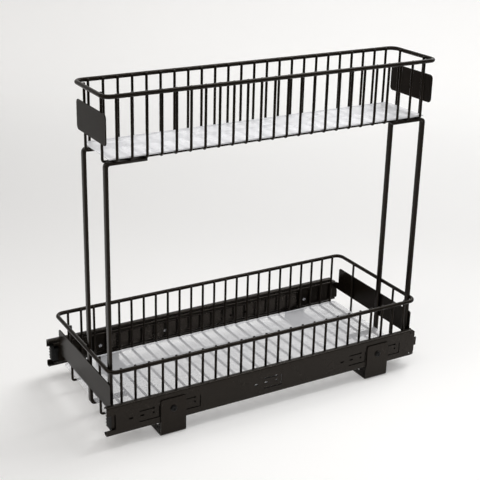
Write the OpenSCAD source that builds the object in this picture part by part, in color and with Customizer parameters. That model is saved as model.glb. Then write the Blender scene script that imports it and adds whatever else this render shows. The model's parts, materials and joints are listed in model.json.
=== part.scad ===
// Two-tier basket that pulls out of a base cabinet on a pair of full-extension ball-bearing slides.
// Each basket is a rod rim with U-shaped wires welded inside it and a thin loose liner on its floor.
// Flat end plates fasten the lower basket to the slides, and four flat bars carry the upper basket.
// The origin is on the cabinet floor, in the middle of the whole unit. +X is the way the basket
// pulls out, +Z is up, and the near side is -Y.

/* [Baskets] */
// Length of both baskets over their rim rods
basket_len = 533; // [380:1:700]
// Width of the lower basket over its rim rods
lower_w = 216; // [170:1:400]
// Width of the upper basket over its rim rods
upper_w = 108; // [96:1:160]
// Height of the lower basket's cross wires above the cabinet floor, to the wires' middle
floor_wire_z = 24; // [20:0.5:40]
// Depth of a basket, from the middle of its rim to the middle of its cross wires
basket_depth = 87; // [75:1:130]
// Height from the lower basket to the upper basket
tier_pitch = 387; // [200:1:480]
// Diameter of the rim rods
rim_d = 6; // [4:0.5:8]
// Corner radius of the rims, to the middle of the rod
rim_corner_r = 12; // [8:1:20]
// Diameter of the basket wires
wire_d = 3.8; // [2:0.1:5]
// Bend radius of the basket wires, to the middle of the wire
wire_bend_r = 3.8; // [3:0.1:8]
// Cross wires in each basket
cross_wires = 24; // [10:1:32]
// Distance from a basket's end to its first cross wire's middle
first_wire_in = 21; // [18:1:30]
// How far the wire ends stand above the middle of the rim
wire_tip = 2; // [0:0.5:3]
// Distance of each lengthwise wire from the middle of the lower basket
lower_end_wire_y = 55; // [30:1:70]
// Distance of each lengthwise wire from the middle of the upper basket
upper_end_wire_y = 28; // [16:1:30]

/* [Liners] */
// Thickness of the liner sheets
liner_t = 1; // [0.5:0.1:2]
// Gap between the ends of the liners and the flat bars beside the lower one
liner_gap = 0.5; // [0.2:0.1:12]
// Corner radius of the liners
liner_corner_r = 4; // [1:1:10]

/* [End plates] */
// Thickness of the end plates' sheet
plate_t = 1.6; // [1:0.1:2.5]
// Height of the lower plates
lower_plate_h = 40.5; // [30:0.5:50]
// Height of the lower plates' lower edge above the cabinet floor
lower_plate_z = 48; // [44:0.5:52]
// How far the lower plates stay inside the middle of the side wires
lower_plate_side_in = 1.5; // [0:0.5:10]
// Corner radius of the lower plates
lower_plate_r = 4; // [1:0.5:8]
// Width of the upper plates
upper_plate_w = 97; // [70:1:100]
// Height of the upper plates
upper_plate_h = 42; // [20:1:46]
// Distance from the middle of the upper rim down to the upper plates
upper_plate_drop = 23; // [6:1:26]
// Corner radius of the upper plates
upper_plate_r = 6; // [1:0.5:10]
// Length of the flanges that the lower plates turn along the slides
flange_len = 80; // [74:1:120]
// Height of the flanges
flange_h = 28.5; // [20:0.5:30]
// Height of the flanges' top above the cabinet floor
flange_top_z = 60; // [56:0.5:62]
// Radius of the bend between a lower plate and its flange, to the middle of the sheet
flange_bend_r = 1.6; // [1.5:0.1:3]
// Corner radius of the flanges
flange_r = 2; // [1:0.5:6]
// Gap between the end of a flange below its bend and the lower plate's edge above it
bend_relief = 1.5; // [0.5:0.1:3]

/* [Uprights] */
// Width of the flat bars
bar_w = 9; // [6:0.5:12]
// Thickness of the flat bars
bar_t = 4.5; // [2:0.5:6]
// Bend radius of the bars, to the middle of the bar
bar_bend_r = 5; // [3.5:0.5:8]
// Length of the bars' ends under the baskets, from the bar's outer face
bar_foot = 60; // [30:1:90]
// Distance between the two bars of one end
bar_spread = 74; // [70:1:76]

/* [Slides] */
// Length of the outer rails
slide_len = 533; // [400:1:700]
// Height of the slides
slide_h = 45; // [43:0.5:50]
// Height of the slides' underside above the cabinet floor
slide_z = 21; // [18:0.5:24]
// How far the slides reach back past the baskets
slide_back = 9.5; // [5:0.5:20]
// Thickness of the rolled sheet that the rails are made of
rail_t = 1.2; // [1:0.1:1.4]
// Inside radius of the rails' small bends
rail_bend_in = 0.3; // [0.2:0.05:0.5]
// Inside radius of the outer rails' corners
rail_corner_in = 0.8; // [0.4:0.1:1.5]
// Diameter of the bearing balls
ball_d = 4; // [3.5:0.25:4.25]
// Clearance between a ball and the raceways
race_gap = 0.1; // [0.05:0.01:0.15]
// Slope of the line from an outer ball to the inner ball beside it
ball_slope = 60; // [58:1:64]
// How far the outer rails' lips wrap past the balls' middles, in degrees
outer_lip_wrap = 12; // [0:1:16]
// How far the middle rails' lips wrap past the balls' middles, in degrees
middle_lip_wrap = 20; // [0:1:24]
// Half the angle that an inner rail's raceway wraps around its balls
inner_race_wrap = 40; // [20:1:50]
// How far the middle rails' lips lie behind the inner rails' faces
lip_inset = 0.6; // [0.4:0.05:2]
// Length of the middle rails
middle_len = 528; // [380:1:690]
// Distance from the outer rails' rear ends to the middle rails' rear ends
middle_back = 8; // [4:0.5:20]
// Length of the inner rails
inner_len = 519; // [380:1:680]
// Distance from the outer rails' rear ends to the inner rails' rear ends
inner_back = 19.5; // [17:0.5:40]
// Length of the tongues at the middle rails' front ends
tongue_len = 3.5; // [2:0.5:10]
// Height of the tongues
tongue_h = 14; // [8:0.5:18]

/* [Ball cages] */
// Balls in each row of a cage
row_balls = 8; // [4:1:10]
// Spacing of the balls in a row
ball_pitch = 16; // [8:1:18]
// Distance from the outer rails' rear ends to the cages
cage_back = 180; // [150:1:220]
// Thickness of the cages' sheet
cage_t = 0.8; // [0.5:0.1:0.9]
// Clearance on each side of a cage's web
cage_gap = 0.4; // [0.3:0.05:0.8]
// Clearance around a ball in its pocket
pocket_gap = 0.15; // [0.05:0.05:0.25]
// How far the cage's flanges reach past the balls' middles
pocket_reach = 1.4; // [1:0.1:1.6]

/* [Slide web] */
// Depth of the notch in the rear of an outer rail's web
notch_depth = 13.5; // [6:0.5:20]
// Height of the notch
notch_h = 23.5; // [18:0.5:34]
// Length of the bare web past the flanges at the front of an outer rail
front_web = 4; // [2:0.5:10]
// Corner radius of the outer rails' front ends
front_r = 2; // [1:0.5:8]
// Diameter of the two holes at an outer rail's front corners
corner_hole_d = 2.6; // [2:0.1:4]
// Distance from the slide's top and underside to these holes
corner_hole_in = 4.5; // [4:0.5:10]
// Distance from an outer rail's front end to these holes
corner_hole_back = 8; // [4:0.5:12]
// Places of the web's groups of slots, from the outer rails' rear ends
group_at = [36.5, 239.5, 393.5];
// Length of a lanced tongue
lance_len = 31.5; // [26:0.5:40]
// Height of a lanced tongue
lance_h = 18; // [12:0.5:22]
// Width of the cut around a lanced tongue
lance_cut = 1.5; // [1:0.1:2.5]
// Distance from a group's slot to its lanced tongue
lance_at = 13; // [8:1:20]
// How far the lanced tongues lie below the middle of the web
lance_drop = 3; // [0:0.5:4]
// Distance from a lanced tongue's root to the slot in it
lance_slot_in = 4.2; // [3.5:0.1:8]
// Distance from a lanced tongue's root to its two round holes
lance_hole_in = 22; // [14:0.5:24]
// Diameter of these holes
lance_hole_d = 3.2; // [2:0.1:4]
// How far the slots, the notch and the stops lie below the middle of the web
slot_drop = 2; // [0:0.5:4]
// Width of the slots
slot_w = 2.6; // [2:0.1:4]
// Length of the slots
slot_len = 6.5; // [5:0.5:10]
// Diameter of the small holes in the inner rails
rail_hole_d = 4; // [3:0.5:6]
// Places of the holes in the inner rails, from their rear ends
inner_holes_at = [29.5, 179.5, 302.5, 330.5, 467.5];

/* [Slide stops] */
// Length of the plastic stops at the rear of the middle rails
stop_len = 11.5; // [6:0.5:12]
// Height of the stops
stop_h = 21; // [12:0.5:22]
// How far the stops fill the middle rails' channel
stop_depth = 7; // [3:0.5:8]
// Depth of the grooves in the stops' rear faces
stop_groove = 1.2; // [0.6:0.1:4]
// Grooves in a stop's rear face
stop_grooves = 3; // [1:1:5]

/* [Floor brackets] */
// Places of the floor brackets' middles, from the outer rails' rear ends
bracket_at = [102, 460];
// Width of the floor brackets
bracket_w = 40; // [30:1:60]
// Height of the floor brackets
bracket_h = 57.5; // [50:0.5:62]
// Thickness of the floor brackets' sheet
bracket_t = 2; // [1.5:0.1:3]
// Depth of the brackets' feet, from the brackets' outer faces
foot_depth = 45; // [38:1:60]
// Bend radius of the brackets, to the middle of the sheet
bracket_bend_r = 2.5; // [1.6:0.1:5]
// Corner radius of the brackets' tops and feet
bracket_r = 3; // [1:0.5:6]
// Diameter of the screw holes in the feet
foot_hole_d = 5; // [4:0.5:7]
// Distance between the two screw holes of one foot
foot_hole_pitch = 20; // [12:1:26]
// Distance from the brackets' outer faces to the feet's screw holes
foot_hole_in = 32; // [26:1:34]

/* [Fasteners] */
// Diameter of the screws' shanks
screw_d = 4; // [3:0.5:5]
// Clearance around a screw in its holes
screw_gap = 0.15; // [0.1:0.05:0.3]
// Diameter of the bracket screws' heads
bracket_head_d = 9.5; // [7:0.5:11]
// Height of the bracket screws' heads
bracket_head_h = 2.8; // [1.5:0.1:3.5]
// Height of the bracket screws above the cabinet floor
bracket_screw_z = 41; // [36:0.5:46]
// Diameter of the flange screws' heads
flange_head_d = 6; // [5:0.5:9]
// Height of the flange screws' heads
flange_head_h = 1.4; // [1:0.1:2.4]
// Length of the flange screws' shanks
flange_screw_len = 5; // [3:0.5:6]
// Distance from a lower plate to its flange screws
flange_screw_in = 68.5; // [40:0.5:70]
// Height of the flange screws above the cabinet floor
flange_screw_z = 41.5; // [38:0.5:48]
// Width of the cross recess in a screw's head
recess_w = 1; // [0.6:0.1:1.4]

/* [Clearances] */
// Gap between the lower basket's side wires and the flanges
flange_gap = 1.55; // [0.5:0.05:5]
// Gap between a closed inner rail and the stop behind it
stop_gap = 0.5; // [0.3:0.1:2]

/* [Hidden] */
$fn = 48;
sides = ["near", "far"];
cut = 1;                       // how far a cutting shape runs past the surface that it cuts
black_coat = [0.13, 0.125, 0.12];
black_rail = [0.17, 0.16, 0.15];
bright_steel = [0.72, 0.72, 0.74];
milky = [0.86, 0.87, 0.88, 0.75];
black_plastic = [0.08, 0.08, 0.08];

// Baskets
basket_x = slide_back / 2;
rim_r = rim_d / 2;
wire_r = wire_d / 2;
wire_in = rim_d + wire_r;                       // from a rim's outer face to the middle of its wires
upper_y = (upper_w - lower_w) / 2;              // the upper basket is flush with the lower one's near side
lower_wire_y = lower_w / 2 - wire_in;
end_wire_x = basket_len / 2 - wire_in;
cross_x = [for (i = [0:cross_wires - 1])
    (basket_len / 2 - first_wire_in) * (2 * i / (cross_wires - 1) - 1)];

// End plates and flanges, measured from the middle of the basket
plate_x = end_wire_x + wire_r;
slide_in_y = lower_wire_y + wire_r + flange_gap + plate_t;
flange_mid_y = slide_in_y - plate_t / 2;
flange_screw_x = plate_x - flange_screw_in;

// Slide section: u runs from the outer rail's web towards the basket, v up from the slide's middle
race_r = ball_d / 2 + race_gap + rail_t / 2;    // from a ball's middle to the middle of the sheet around it
outer_web_u = rail_t / 2;
outer_cage_u = rail_t + cage_gap + cage_t / 2;
middle_web_u = outer_cage_u + cage_t / 2 + cage_gap + rail_t / 2;
inner_cage_u = middle_web_u + rail_t / 2 + cage_gap + cage_t / 2;
small_bend = rail_bend_in + rail_t / 2;
corner_bend = rail_corner_in + rail_t / 2;
outer_ball = [middle_web_u + small_bend * (1 + cos(ball_slope)) + race_r * cos(ball_slope),
              slide_h / 2 - rail_t / 2 - race_r];
inner_ball = outer_ball + 2 * race_r * [cos(ball_slope), -sin(ball_slope)];
slide_t = inner_ball[0] + race_r + rail_t / 2 + lip_inset;
inner_web_u = slide_t - rail_t / 2;
inner_flange_v = inner_ball[1] - race_r * cos(inner_race_wrap);
inner_flange_end = inner_ball[0] - race_r * sin(inner_race_wrap) - rail_t / 2;

slide_out_y = slide_in_y + slide_t;
slide_x = basket_x - basket_len / 2 - slide_back;
slide_mid_z = slide_z + slide_h / 2;
cage_len = row_balls * ball_pitch;

// Middle line of each rail's and cage's sheet, from the slide's middle up
outer_line = concat(arc([outer_web_u + corner_bend, slide_h / 2 - rail_t / 2 - corner_bend],
                        corner_bend, 180, 90, 4),
                    arc(outer_ball, race_r, 90, -outer_lip_wrap, 7));
middle_line = concat(arc([middle_web_u + small_bend,
                          outer_ball[1] - (race_r + small_bend) * sin(ball_slope)],
                         small_bend, 180, ball_slope, 5),
                     rest(arc(outer_ball, race_r, 180 + ball_slope, 360 - ball_slope, 5)),
                     rest(arc(inner_ball, race_r, 180 - ball_slope, -middle_lip_wrap, 9)));
inner_line = concat(arc([inner_web_u - small_bend, inner_flange_v - small_bend], small_bend, 0, 90, 4),
                    arc(inner_ball, race_r, 270 + inner_race_wrap, 270 - inner_race_wrap, 6),
                    [[inner_flange_end, inner_flange_v]]);

function cage_line(web_u, ball) = let(bend = cage_t)
    concat(arc([web_u + bend, ball[1] - bend], bend, 180, 90, 4), [[ball[0] + pocket_reach, ball[1]]]);

// Points of an arc of radius r about c, from angle a to angle b in n steps
function arc(c, r, a, b, n) = [for (i = [0:n]) let(t = a + (b - a) * i / n) c + r * [cos(t), sin(t)]];
function rest(list) = [for (i = [1:len(list) - 1]) list[i]];
function reversed(list) = [for (i = [len(list) - 1:-1:0]) list[i]];
function unit(v) = v / norm(v);

// One edge of a sheet whose middle line is path, w to the left of the way that the path runs
function edge(path, w) = let(n = len(path) - 1) [for (i = [0:n]) let(
    d0 = unit(path[max(i, 1)] - path[max(i, 1) - 1]),
    d1 = unit(path[min(i, n - 1) + 1] - path[min(i, n - 1)]),
    m = [-d0[1] - d1[1], d0[0] + d1[0]]) path[i] + 2 * w * m / (m * m)];

// Section of a sheet of thickness t that follows half, and half's mirror image below the middle
module section(half, t) {
    path = concat([for (p = reversed(half)) [p[0], -p[1]]], half);
    polygon(concat(edge(path, t / 2), reversed(edge(path, -t / 2))));
}

module rounded_slab(size, r) {
    square([size[0] - 2 * r, size[1]], center = true);
    square([size[0], size[1] - 2 * r], center = true);
    for (x = [-1, 1], y = [-1, 1])
        translate([x * (size[0] / 2 - r), y * (size[1] / 2 - r)]) circle(r);
}

// Stands a drawing up in the plane across X, with its x along Y and its y along Z
module across_x(thick) rotate([90, 0, 90]) linear_extrude(thick) children();

// Stands a drawing up in the plane across Y, with its x along X and its y along Z
module across_y(thick) translate([0, thick, 0]) rotate([90, 0, 0]) linear_extrude(thick) children();

// The near side is drawn, and the far side is its mirror image
module on_side(side) {
    if (side == "near") children();
    else mirror([0, 1, 0]) children();
}

// --- Baskets ---

// Closed hoop of round rod around a rectangle of size [x, y], to the middle of the rod
module rim_hoop(size, r) {
    for (s = [-1, 1]) {
        translate([-(size[0] / 2 - r), s * size[1] / 2, 0]) rotate([0, 90, 0])
            cylinder(d = rim_d, h = size[0] - 2 * r);
        translate([s * size[0] / 2, -(size[1] / 2 - r), 0]) rotate([-90, 0, 0])
            cylinder(d = rim_d, h = size[1] - 2 * r);
    }
    for (k = [0:3]) {
        sx = k == 0 || k == 3 ? 1 : -1;
        sy = k < 2 ? 1 : -1;
        translate([sx * (size[0] / 2 - r), sy * (size[1] / 2 - r), 0]) rotate([0, 0, 90 * k])
            rotate_extrude(angle = 90) translate([r, 0]) circle(d = rim_d);
    }
}

// U of wire in the plane across X, w wide and h high to the middle of the wire
module u_wire(w, h) {
    r = wire_bend_r;
    translate([0, -(w / 2 - r), 0]) rotate([-90, 0, 0]) cylinder(d = wire_d, h = w - 2 * r);
    for (s = [0, 1]) mirror([0, s, 0]) {
        translate([0, w / 2, r]) cylinder(d = wire_d, h = h - r);
        translate([0, w / 2 - r, r]) rotate([0, 90, 0]) rotate_extrude(angle = 90)
            translate([r, 0]) circle(d = wire_d);
    }
}

module rim(w, z) {
    color(black_coat) translate([basket_x, 0, z])
        rim_hoop([basket_len - rim_d, w - rim_d], rim_corner_r);
}

module cross_wire_set(w, floor_z) {
    color(black_coat) for (x = cross_x)
        translate([basket_x + x, 0, floor_z]) u_wire(w - 2 * wire_in, basket_depth + wire_tip);
}

module end_wire_set(spread, floor_z) {
    color(black_coat) for (s = [-1, 1])
        translate([basket_x, s * spread, floor_z - wire_d]) rotate([0, 0, 90])
            u_wire(2 * end_wire_x, basket_depth + wire_tip + wire_d);
}

module liner(w, floor_z) {
    color(milky) translate([basket_x, 0, floor_z + wire_r]) linear_extrude(liner_t)
        rounded_slab([2 * (plate_x - bar_t - liner_gap), w - 2 * (wire_in + wire_bend_r)], liner_corner_r);
}

module lower_rim() rim(lower_w, floor_wire_z + basket_depth);
module lower_cross_wires() cross_wire_set(lower_w, floor_wire_z);
module lower_end_wires() end_wire_set(lower_end_wire_y, floor_wire_z);
module lower_liner() liner(lower_w, floor_wire_z);
module upper_rim() translate([0, upper_y, tier_pitch]) rim(upper_w, floor_wire_z + basket_depth);
module upper_cross_wires() translate([0, upper_y, tier_pitch]) cross_wire_set(upper_w, floor_wire_z);
module upper_end_wires() translate([0, upper_y, tier_pitch])
    end_wire_set(upper_end_wire_y, floor_wire_z);
module upper_liner() translate([0, upper_y, tier_pitch]) liner(upper_w, floor_wire_z);

// --- End plates ---

// Flange, drawn from its bend's edge and its top. Below the ear, a square toe runs on to the plate's front.
module flange_outline() {
    ear_h = flange_top_z - lower_plate_z;
    toe_h = flange_h - ear_h - bend_relief;
    toe_x = flange_bend_r + plate_t / 2;
    translate([-flange_len / 2, -flange_h / 2]) rounded_slab([flange_len, flange_h], flange_r);
    translate([-2 * flange_r, -ear_h]) square([2 * flange_r, ear_h]);
    translate([toe_x - toe_h / 2, -flange_h + toe_h / 2]) rounded_slab([toe_h, toe_h], flange_r);
}

// Front lower plate: a strip across the basket's end, with an ear and a flange along each slide
module lower_plate() {
    half_w = lower_wire_y - lower_plate_side_in;
    bend_x = plate_x + plate_t / 2 - flange_bend_r;
    bend_y = flange_mid_y - flange_bend_r;
    ear_h = flange_top_z - lower_plate_z;
    difference() {
        union() {
            translate([plate_x, 0, lower_plate_z + lower_plate_h / 2]) across_x(plate_t)
                rounded_slab([2 * half_w, lower_plate_h], lower_plate_r);
            for (s = [0, 1]) mirror([0, s, 0]) {
                translate([plate_x, half_w - 2 * lower_plate_r, lower_plate_z])
                    cube([plate_t, bend_y - half_w + 2 * lower_plate_r, ear_h]);
                translate([bend_x, bend_y, lower_plate_z]) rotate_extrude(angle = 90)
                    translate([flange_bend_r - plate_t / 2, 0]) square([plate_t, ear_h]);
                translate([bend_x, flange_mid_y - plate_t / 2, flange_top_z])
                    across_y(plate_t) flange_outline();
            }
        }
        for (s = [0, 1]) mirror([0, s, 0])
            translate([flange_screw_x, slide_in_y + cut, flange_screw_z]) rotate([90, 0, 0])
                cylinder(r = screw_d / 2 + screw_gap, h = plate_t + 2 * cut);
    }
}

module upper_plate() {
    rim_z = floor_wire_z + basket_depth + tier_pitch;
    translate([plate_x, upper_y, rim_z - upper_plate_drop - upper_plate_h / 2]) across_x(plate_t)
        rounded_slab([upper_plate_w, upper_plate_h], upper_plate_r);
}

module at_end(end) {
    translate([basket_x, 0, 0]) {
        if (end == "front") children();
        else mirror([1, 0, 0]) children();
    }
}

module front_lower_plate() color(black_coat) at_end("front") lower_plate();
module rear_lower_plate() color(black_coat) at_end("rear") lower_plate();
module front_upper_plate() color(black_coat) at_end("front") upper_plate();
module rear_upper_plate() color(black_coat) at_end("rear") upper_plate();

// --- Uprights ---

// Flat bar that stands inside the rims and bends in under the floor of each basket
module upright() {
    low_z = floor_wire_z - wire_r - bar_t / 2;
    x = plate_x - bar_t / 2;
    r = bar_bend_r;
    translate([x - bar_t / 2, -bar_w / 2, low_z + r]) cube([bar_t, bar_w, tier_pitch - 2 * r]);
    for (top = [0, 1]) translate([x - r, 0, low_z + top * tier_pitch]) mirror([0, 0, top]) {
        translate([-(bar_foot - bar_t / 2 - r), -bar_w / 2, -bar_t / 2])
            cube([bar_foot - bar_t / 2 - r, bar_w, bar_t]);
        translate([0, bar_w / 2, r]) rotate([90, 0, 0]) rotate([0, 0, -90])
            rotate_extrude(angle = 90) translate([r - bar_t / 2, 0]) square([bar_t, bar_w]);
    }
}

module placed_upright(end, side) {
    y = upper_y + (side == "near" ? -1 : 1) * bar_spread / 2;
    color(black_coat) translate([0, y, 0]) at_end(end) upright();
}

module near_front_upright() placed_upright("front", "near");
module near_rear_upright() placed_upright("rear", "near");
module far_front_upright() placed_upright("front", "far");
module far_rear_upright() placed_upright("rear", "far");

// --- Slides ---

// Moves from the slide's own frame (rear end of the outer rail, u towards the basket, v up) into place
module in_slide(side) {
    on_side(side) translate([slide_x, -slide_out_y, slide_mid_z]) children();
}

// Hole through a web whose faces are at u and u + thick
module web_hole(at, v, d, u, thick) {
    translate([at, u - cut, v]) rotate([-90, 0, 0]) cylinder(d = d, h = thick + 2 * cut);
}

// Slot along X through a web
module web_slot(at, v, length, w, u, thick) {
    translate([at - (length - w) / 2, u - cut, v - w / 2]) cube([length - w, thick + 2 * cut, w]);
    for (s = [-1, 1]) web_hole(at + s * (length - w) / 2, v, w, u, thick);
}

// Cuts that leave a tongue standing in the web, hinged at its rear. The one above stops at a hole.
module lance(at, v) {
    translate([at, -cut, v + lance_h / 2 - lance_cut]) cube([lance_hole_in, rail_t + 2 * cut, lance_cut]);
    translate([at, -cut, v - lance_h / 2]) cube([lance_len, rail_t + 2 * cut, lance_cut]);
    translate([at + lance_len - lance_cut, -cut, v - lance_h / 2]) cube([lance_cut, rail_t + 2 * cut, lance_h]);
}

// Lanced tongue with a slot and a hole in it, and a hole at the end of the cut above it
module lance_group(at) {
    root = at + lance_at;
    lance(root, -lance_drop);
    web_slot(root + lance_slot_in, -slot_drop, slot_len, slot_w, 0, rail_t);
    web_hole(root + lance_hole_in, -slot_drop, lance_hole_d, 0, rail_t);
    web_hole(root + lance_hole_in, (lance_h - lance_cut) / 2 - lance_drop, lance_hole_d, 0, rail_t);
}

module outer_rail(side) {
    color(black_rail) in_slide(side) difference() {
        union() {
            across_x(slide_len - front_web) section(outer_line, rail_t);
            translate([slide_len - front_web / 2 - front_r, 0, 0]) across_y(rail_t)
                rounded_slab([front_web + 2 * front_r, slide_h - 2 * corner_bend], front_r);
        }
        translate([-cut, -cut, -notch_h / 2 - slot_drop])
            cube([notch_depth + cut, rail_t + 2 * cut, notch_h]);
        for (at = group_at) {
            web_slot(at, -slot_drop, slot_len, slot_w, 0, rail_t);
            lance_group(at);
        }
        for (at = bracket_at) {
            web_hole(at, bracket_screw_z - slide_mid_z, screw_d + 2 * screw_gap, 0, rail_t);
            lance_group(at);
        }
        for (v = [-1, 1])
            web_hole(slide_len - corner_hole_back, v * (slide_h / 2 - corner_hole_in),
                     corner_hole_d, 0, rail_t);
    }
}

module middle_rail(side) {
    web_u = middle_web_u - rail_t / 2;
    color(black_rail) in_slide(side) translate([middle_back, 0, 0]) difference() {
        union() {
            across_x(middle_len) section(middle_line, rail_t);
            translate([middle_len - cut, web_u, -tongue_h / 2]) cube([tongue_len + cut, rail_t, tongue_h]);
        }
        for (at = inner_holes_at) web_slot(at, 0, 2 * slot_len, slot_w, web_u, rail_t);
    }
}

module inner_rail(side) {
    web_u = inner_web_u - rail_t / 2;
    color(black_rail) in_slide(side) translate([inner_back, 0, 0]) difference() {
        across_x(inner_len) section(inner_line, rail_t);
        for (at = inner_holes_at) web_hole(at, -slot_drop, rail_hole_d, web_u, rail_t);
        for (s = [-1, 1])
            web_hole(basket_x + s * flange_screw_x - slide_x - inner_back, flange_screw_z - slide_mid_z,
                     screw_d + 2 * screw_gap, web_u, rail_t);
    }
}

// C-shaped strip that keeps two rows of balls apart, with pockets open towards the basket
module cage(side, web_u, ball) {
    color(bright_steel) in_slide(side) translate([cage_back, 0, 0]) difference() {
        across_x(cage_len) section(cage_line(web_u, ball), cage_t);
        for (i = [0:row_balls - 1], s = [-1, 1])
            translate([(i + 0.5) * ball_pitch, ball[0], s * ball[1] - cage_t / 2 - cut])
                cylinder(r = ball_d / 2 + pocket_gap, h = cage_t + 2 * cut);
    }
}

module ball_rows(side, ball) {
    color(bright_steel) in_slide(side) translate([cage_back, 0, 0])
        for (i = [0:row_balls - 1], s = [-1, 1])
            translate([(i + 0.5) * ball_pitch, ball[0], s * ball[1]]) sphere(d = ball_d);
}

// Plastic stop that closes the rear of a middle rail's channel
module rear_stop(side) {
    at = inner_back - stop_gap - stop_len;
    rib = stop_h / (2 * stop_grooves + 1);
    foot = -stop_h / 2 - slot_drop;
    color(black_plastic) in_slide(side) translate([at, middle_web_u + rail_t / 2, foot]) difference() {
        cube([stop_len, stop_depth, stop_h]);
        for (i = [1:stop_grooves])
            translate([-cut, -cut, (2 * i - 1) * rib]) cube([stop_groove + cut, stop_depth + 2 * cut, rib]);
    }
}

module near_outer_rail() outer_rail("near");
module far_outer_rail() outer_rail("far");
module near_middle_rail() middle_rail("near");
module far_middle_rail() middle_rail("far");
module near_inner_rail() inner_rail("near");
module far_inner_rail() inner_rail("far");
module near_outer_cage() cage("near", outer_cage_u, outer_ball);
module far_outer_cage() cage("far", outer_cage_u, outer_ball);
module near_inner_cage() cage("near", inner_cage_u, inner_ball);
module far_inner_cage() cage("far", inner_cage_u, inner_ball);
module near_outer_balls() ball_rows("near", outer_ball);
module far_outer_balls() ball_rows("far", outer_ball);
module near_inner_balls() ball_rows("near", inner_ball);
module far_inner_balls() ball_rows("far", inner_ball);
module near_rear_stop() rear_stop("near");
module far_rear_stop() rear_stop("far");

// --- Floor brackets ---

// L of bent sheet: the upright lies on the outer rail's web and the foot runs in under the slide
module bracket(side, at) {
    half_t = bracket_t / 2;
    line = concat([[-half_t, bracket_h]],
                  arc([-half_t + bracket_bend_r, half_t + bracket_bend_r], bracket_bend_r, 180, 270, 6),
                  [[foot_depth - bracket_t, half_t]]);
    color(black_coat) on_side(side) translate([slide_x + at, -slide_out_y, 0]) intersection() {
        difference() {
            translate([-bracket_w / 2, 0, 0]) across_x(bracket_w)
                polygon(concat(edge(line, half_t), reversed(edge(line, -half_t))));
            translate([0, -bracket_t, bracket_screw_z]) web_hole(0, 0, screw_d + 2 * screw_gap, 0, bracket_t);
            for (s = [-1, 1]) translate([s * foot_hole_pitch / 2, foot_hole_in - bracket_t, -cut])
                cylinder(d = foot_hole_d, h = bracket_t + 2 * cut);
        }
        translate([0, -bracket_t - cut, bracket_h / 2 - bracket_r]) across_y(foot_depth + 2 * cut)
            rounded_slab([bracket_w, bracket_h + 2 * bracket_r], bracket_r);
        translate([0, foot_depth / 2 - bracket_t - bracket_r, -cut]) linear_extrude(bracket_h + 2 * cut)
            rounded_slab([bracket_w, foot_depth + 2 * bracket_r], bracket_r);
    }
}

module near_rear_bracket() bracket("near", bracket_at[0]);
module near_front_bracket() bracket("near", bracket_at[1]);
module far_rear_bracket() bracket("far", bracket_at[0]);
module far_front_bracket() bracket("far", bracket_at[1]);

// --- Screws ---

// Pan-head screw with its head's seat at the origin and its shank down -Z
module screw(head_d, head_h, shank_len) {
    difference() {
        union() {
            translate([0, 0, -shank_len]) cylinder(d = screw_d, h = shank_len);
            cylinder(d = head_d, h = head_h / 2);
            translate([0, 0, head_h / 2]) cylinder(d1 = head_d, d2 = 0.7 * head_d, h = head_h / 2);
        }
        for (a = [0, 90]) rotate([0, 0, a]) translate([-head_d / 4, -recess_w / 2, head_h / 2])
            cube([head_d / 2, recess_w, head_h]);
    }
}

module bracket_screws() {
    color(black_plastic) for (side = sides, at = bracket_at)
        on_side(side) translate([slide_x + at, -slide_out_y - bracket_t, bracket_screw_z])
            rotate([90, 0, 0]) screw(bracket_head_d, bracket_head_h, bracket_t + rail_t);
}

module flange_screws() {
    color(bright_steel) for (side = sides, s = [-1, 1])
        on_side(side) translate([basket_x + s * flange_screw_x, -(slide_in_y - plate_t), flange_screw_z])
            rotate([-90, 0, 0]) screw(flange_head_d, flange_head_h, flange_screw_len);
}

near_outer_rail();
far_outer_rail();
near_rear_bracket();
near_front_bracket();
far_rear_bracket();
far_front_bracket();
bracket_screws();
near_middle_rail();
far_middle_rail();
near_rear_stop();
far_rear_stop();
near_outer_cage();
far_outer_cage();
near_outer_balls();
far_outer_balls();
near_inner_cage();
far_inner_cage();
near_inner_balls();
far_inner_balls();
near_inner_rail();
far_inner_rail();
flange_screws();
lower_rim();
lower_cross_wires();
lower_end_wires();
lower_liner();
upper_rim();
upper_cross_wires();
upper_end_wires();
upper_liner();
front_lower_plate();
rear_lower_plate();
front_upper_plate();
rear_upper_plate();
near_front_upright();
near_rear_upright();
far_front_upright();
far_rear_upright();
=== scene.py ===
"""Two-tier pull-out cabinet basket: welded wire, coated sheet, ball slides and milky liners."""

import json
import math

import bmesh
import bpy
import numpy as np
from mathutils import Matrix, Vector


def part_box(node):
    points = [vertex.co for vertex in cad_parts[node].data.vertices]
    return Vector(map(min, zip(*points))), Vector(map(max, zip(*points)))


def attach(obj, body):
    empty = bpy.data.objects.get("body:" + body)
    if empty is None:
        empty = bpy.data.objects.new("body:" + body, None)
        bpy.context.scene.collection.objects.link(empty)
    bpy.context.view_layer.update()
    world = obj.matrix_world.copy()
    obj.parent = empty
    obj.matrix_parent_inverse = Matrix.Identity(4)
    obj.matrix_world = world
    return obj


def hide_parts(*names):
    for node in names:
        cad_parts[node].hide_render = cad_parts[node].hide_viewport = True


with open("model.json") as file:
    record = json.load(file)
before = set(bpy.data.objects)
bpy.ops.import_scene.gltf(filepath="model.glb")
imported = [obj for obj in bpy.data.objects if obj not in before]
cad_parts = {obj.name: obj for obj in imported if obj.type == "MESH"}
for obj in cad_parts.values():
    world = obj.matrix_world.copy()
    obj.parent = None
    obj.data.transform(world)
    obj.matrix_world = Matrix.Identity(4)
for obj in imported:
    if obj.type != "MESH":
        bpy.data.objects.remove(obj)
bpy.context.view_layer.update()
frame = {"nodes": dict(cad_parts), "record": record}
MM = 0.001


def in_scene(name, data):
    """A new object in the scene, made from a mesh, a lamp or a camera."""
    made = bpy.data.objects.new(name, data)
    bpy.context.scene.collection.objects.link(made)
    return made


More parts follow.
